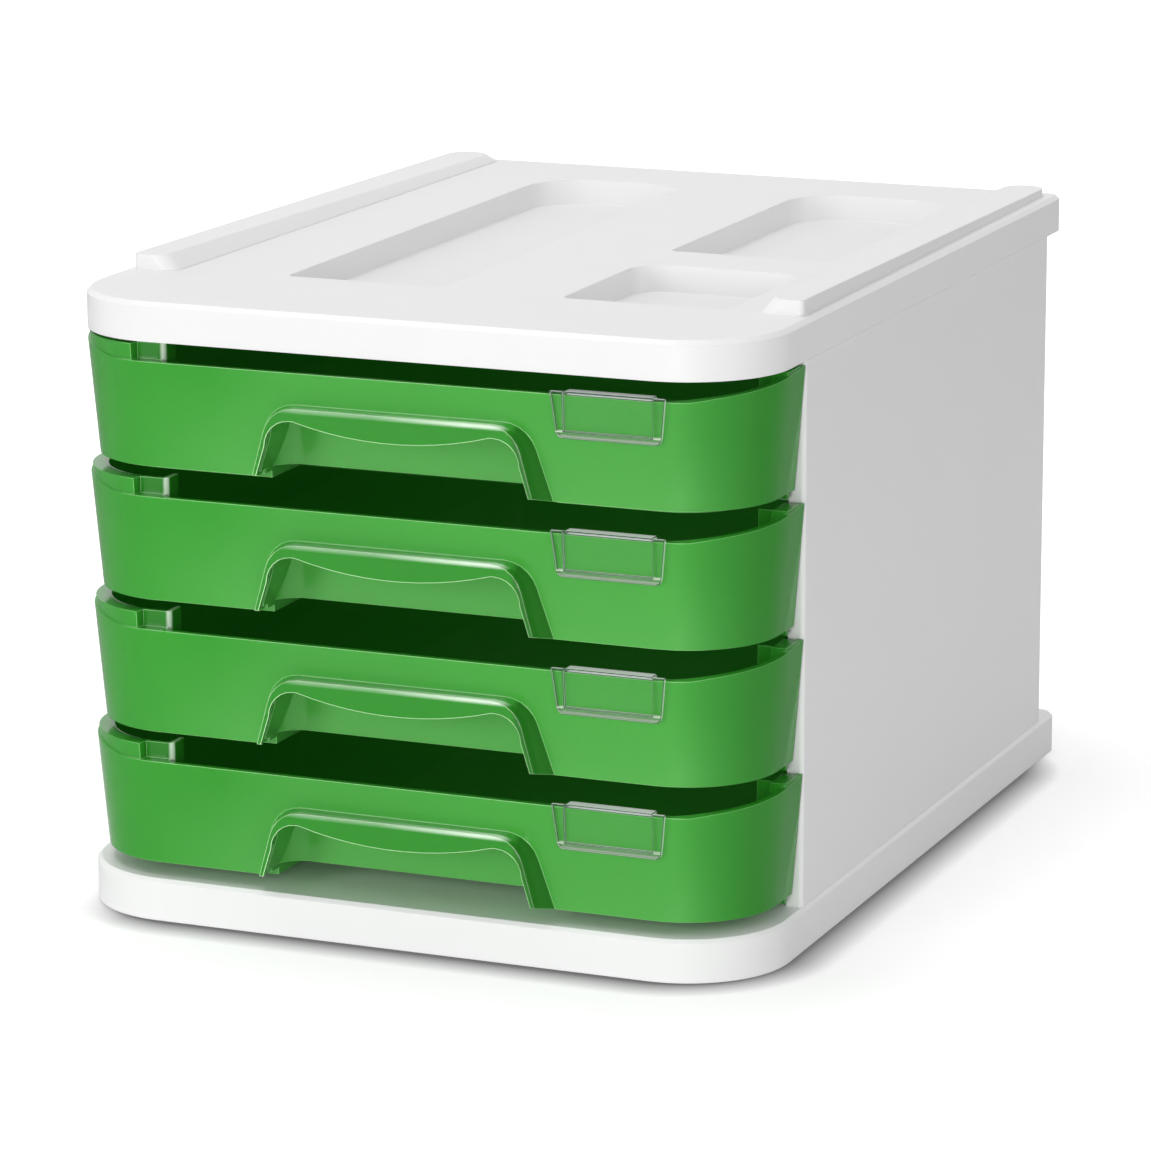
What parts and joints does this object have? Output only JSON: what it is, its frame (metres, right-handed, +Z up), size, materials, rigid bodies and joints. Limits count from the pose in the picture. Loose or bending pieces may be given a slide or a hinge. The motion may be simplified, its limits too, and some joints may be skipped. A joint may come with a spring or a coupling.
{
  "type": "desktop drawer organizer",
  "caption": "Desktop mini drawers: a rounded white case with open trays in its top holds a stack of green pull-out drawers, each with a hooded finger recess and a clear clip-on label holder.",
  "frame": {"origin": "on the table, in the middle of the bounding box of the footprint with the handles", "axes": "+X right as seen from the front, +Y to the back, +Z up; the drawers open towards -Y"},
  "size_m": [0.265, 0.3496, 0.2306],
  "materials": {
    "white_plastic": "smooth moulded polystyrene, satin",
    "green_plastic": "smooth glossy moulded plastic, slightly see-through at thin edges",
    "clear_plastic": "clear glossy moulded plastic",
    "rubber": "matt"
  },
  "bodies": {
    "case": {"base_plate": "white_plastic", "top_cover": "white_plastic", "left_side_panel": "white_plastic", "right_side_panel": "white_plastic", "back_panel": "white_plastic", "rubber_feet": "rubber"},
    "drawer_1_body": {"drawer_1": "green_plastic", "label_holder_1": "clear_plastic"},
    "drawer_2_body": {"drawer_2": "green_plastic", "label_holder_2": "clear_plastic"},
    "drawer_3_body": {"drawer_3": "green_plastic", "label_holder_3": "clear_plastic"},
    "drawer_4_body": {"drawer_4": "green_plastic", "label_holder_4": "clear_plastic"}
  },
  "joints": [
    {"name": "drawer_1_slide", "type": "slide", "parent": "case", "child": "drawer_1_body", "axis": [0, -1, 0], "range_m": [0, 0.248]},
    {"name": "drawer_2_slide", "type": "slide", "parent": "case", "child": "drawer_2_body", "axis": [0, -1, 0], "range_m": [0, 0.248]},
    {"name": "drawer_3_slide", "type": "slide", "parent": "case", "child": "drawer_3_body", "axis": [0, -1, 0], "range_m": [0, 0.248]},
    {"name": "drawer_4_slide", "type": "slide", "parent": "case", "child": "drawer_4_body", "axis": [0, -1, 0], "range_m": [0, 0.248]}
  ]
}
